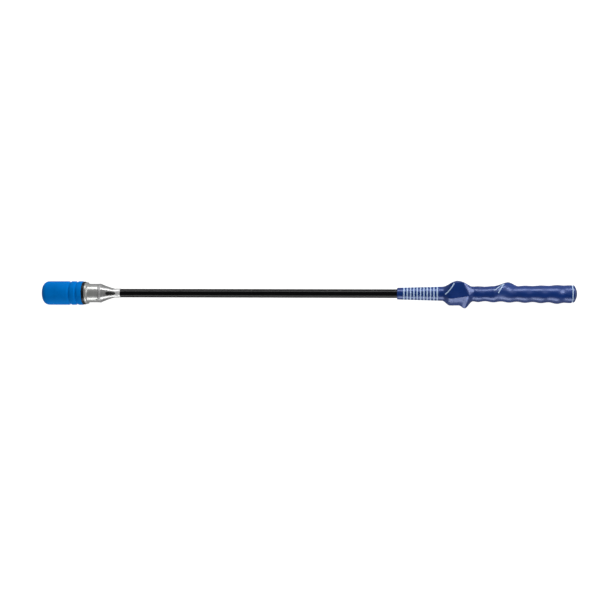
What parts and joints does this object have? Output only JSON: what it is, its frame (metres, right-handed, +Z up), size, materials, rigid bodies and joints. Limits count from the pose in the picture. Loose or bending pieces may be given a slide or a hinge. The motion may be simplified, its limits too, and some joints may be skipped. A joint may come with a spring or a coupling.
{
  "type": "golf swing trainer",
  "caption": "Weighted golf swing training stick: rubber-capped head with a magnet-held sliding striker, a turning strength dial, a tubular shaft and a contoured training grip.",
  "frame": {"origin": "centre of the flat nose of the rubber bumper, on the axis of the stick", "axes": "+X along the axis from the nose to the butt; +Z up, away from the flat under the grip's flare that the stick lies on; +Y to the side of the grip's thumb peak"},
  "size_m": [0.8013, 0.0407, 0.036],
  "materials": {
    "blue_silicone": "satin",
    "black_nylon": "satin",
    "hard_steel": "ground",
    "white_acetal": "satin",
    "spring_steel": "satin",
    "turned_aluminium": "turned, bright",
    "cast_aluminium": "polished",
    "black_enamel": "gloss",
    "brass": "satin",
    "nickel": "bright",
    "black_lacquer": "gloss",
    "navy_rubber": "satin",
    "cap_rubber": "satin",
    "white_paint": "satin"
  },
  "bodies": {
    "stick": {"hub": "cast_aluminium", "snap_ring": "spring_steel", "shaft": "black_lacquer", "grip": "navy_rubber", "grip_rings": "white_paint", "thumb_line": "white_paint", "palm_lines": "white_paint", "butt_ring": "white_paint", "butt_cap": "cap_rubber", "detent_spring": "spring_steel"},
    "head": {"impact_bumper": "blue_silicone", "barrel": "black_nylon", "anvil": "hard_steel", "stop_disc": "white_acetal", "stop_clip": "spring_steel", "dial_sleeve": "turned_aluminium", "index_dot": "black_enamel"},
    "striker": {"striker": "hard_steel"},
    "magnet_carrier": {"lead_screw": "brass", "magnet_cup": "hard_steel", "magnet": "nickel", "magnet_screw": "spring_steel", "indicator_rod": "hard_steel", "key_pin": "spring_steel"},
    "detent_ball": {"detent_ball": "nickel"}
  },
  "joints": [
    {"name": "dial_turn", "type": "hinge", "parent": "stick", "child": "head", "pos_m": [0.08, 0, 0], "axis": [1, 0, 0], "range_deg": [0, 324]},
    {"name": "striker_slide", "type": "slide", "parent": "head", "child": "striker", "axis": [-1, 0, 0], "range_m": [0, 0.016]},
    {"name": "magnet_slide", "type": "slide", "parent": "stick", "child": "magnet_carrier", "axis": [-1, 0, 0], "range_m": [0, 0.0045]},
    {"name": "detent_click", "type": "slide", "parent": "stick", "child": "detent_ball", "axis": [0, 0, 1], "range_m": [0, 0.0008], "stiffness_N_per_m": 200, "deforming": ["detent_spring"]}
  ],
  "couplings": [
    {"joint": "magnet_slide", "follows": "dial_turn", "m_per_rad": 0.000795}
  ]
}
